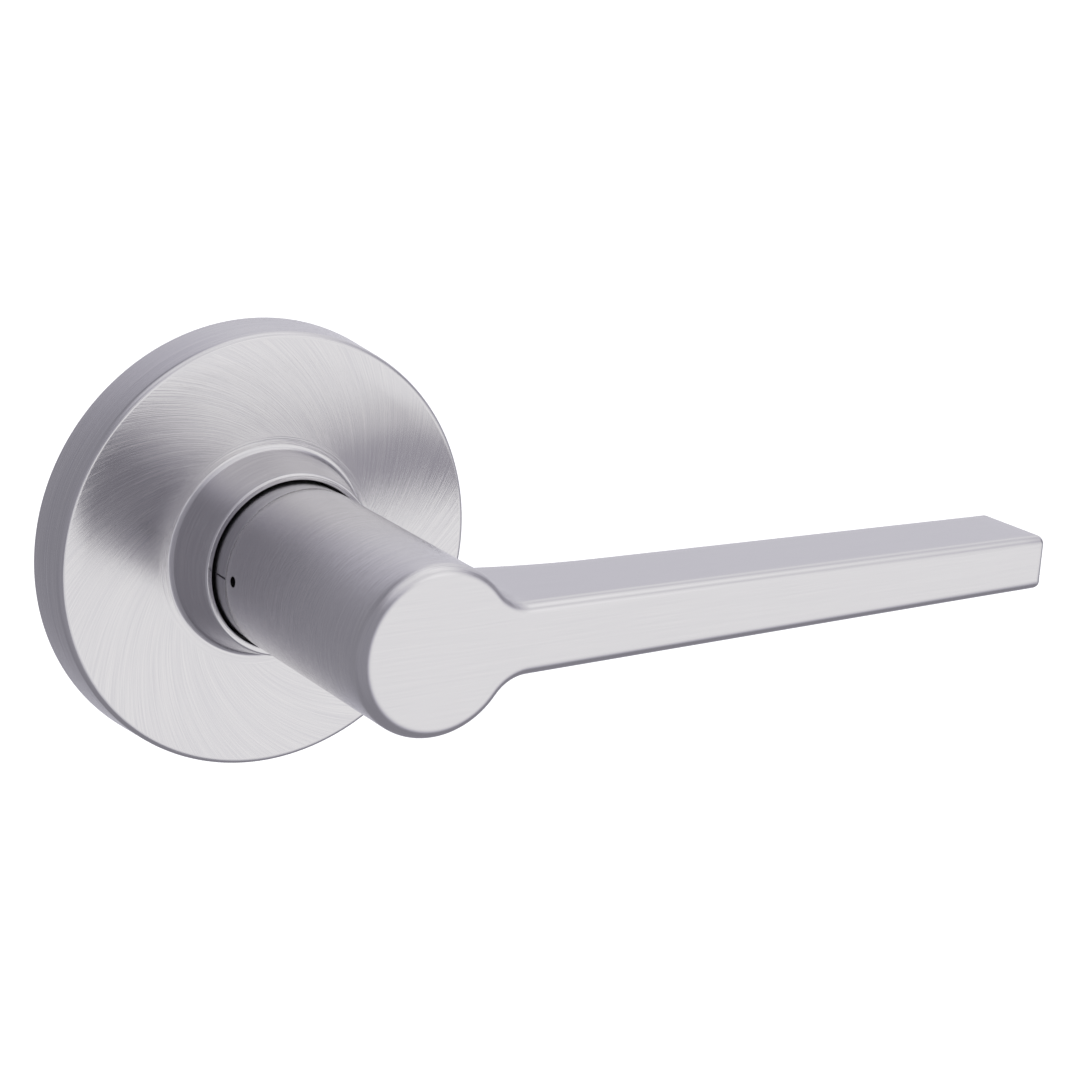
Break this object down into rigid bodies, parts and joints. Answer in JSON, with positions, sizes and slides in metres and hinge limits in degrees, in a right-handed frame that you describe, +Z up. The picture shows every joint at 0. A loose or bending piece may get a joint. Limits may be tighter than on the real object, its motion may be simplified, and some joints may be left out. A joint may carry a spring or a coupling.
{
  "type": "door lever handle",
  "caption": "Passage door lever on a round rose: hub with a flat tapering arm, sprung drive tube, support plate, posts and spindle.",
  "frame": {"origin": "centre of the rose's back face, on the spindle axis, in the plane of the door's face", "axes": "+Z up, -Y out of the door towards the room along the spindle axis, +X along the lever's arm at rest"},
  "size_m": [0.143, 0.1006, 0.068],
  "materials": {
    "satin_chrome_rose": "satin chrome plate, brushed in a swirl about the spindle axis",
    "satin_chrome_lever": "satin chrome plate, brushed along the arm and round the hub",
    "satin_chrome_sleeve": "satin chrome plate, turned grain",
    "nylon": "moulded black nylon",
    "zinc_plate": "zinc plated steel",
    "spring_steel": "oiled spring steel",
    "cast_zinc": "bare zinc casting"
  },
  "bodies": {
    "root": {"rose": "satin_chrome_rose", "collar_bush": "nylon", "bearing_bush": "nylon", "support_plate": "zinc_plate", "spring_housing": "zinc_plate", "post_left": "zinc_plate", "post_right": "zinc_plate", "housing_rivet_1": "zinc_plate", "housing_rivet_2": "zinc_plate", "housing_rivet_3": "zinc_plate", "housing_rivet_4": "zinc_plate", "clip_rivet_1": "zinc_plate", "clip_rivet_2": "zinc_plate", "clip_rivet_3": "zinc_plate", "rose_clip_1": "spring_steel", "rose_clip_2": "spring_steel", "rose_clip_3": "spring_steel", "return_spring": "spring_steel"},
    "lever_body": {"lever": "satin_chrome_lever", "hub_sleeve": "satin_chrome_sleeve", "drive_tube": "zinc_plate", "cam_plate": "zinc_plate", "wave_washer": "spring_steel", "thrust_washer": "zinc_plate", "circlip": "spring_steel", "drive_plug": "cast_zinc", "torque_spindle": "zinc_plate", "spindle_pin": "spring_steel", "catch_spring": "spring_steel"},
    "catch_body": {"lever_catch": "spring_steel"}
  },
  "joints": [
    {"name": "lever_turn", "type": "hinge", "parent": "root", "child": "lever_body", "pos_m": [0, 0, 0], "axis": [0, 1, 0], "range_deg": [-45, 45], "stiffness_Nm_per_rad": 1.6, "springref_deg": -2.22, "deforming": ["return_spring"]},
    {"name": "catch_press", "type": "slide", "parent": "lever_body", "child": "catch_body", "axis": [0.9981, 0, -0.061], "range_m": [0, 0.0019], "stiffness_N_per_m": 600, "deforming": ["catch_spring"]}
  ]
}
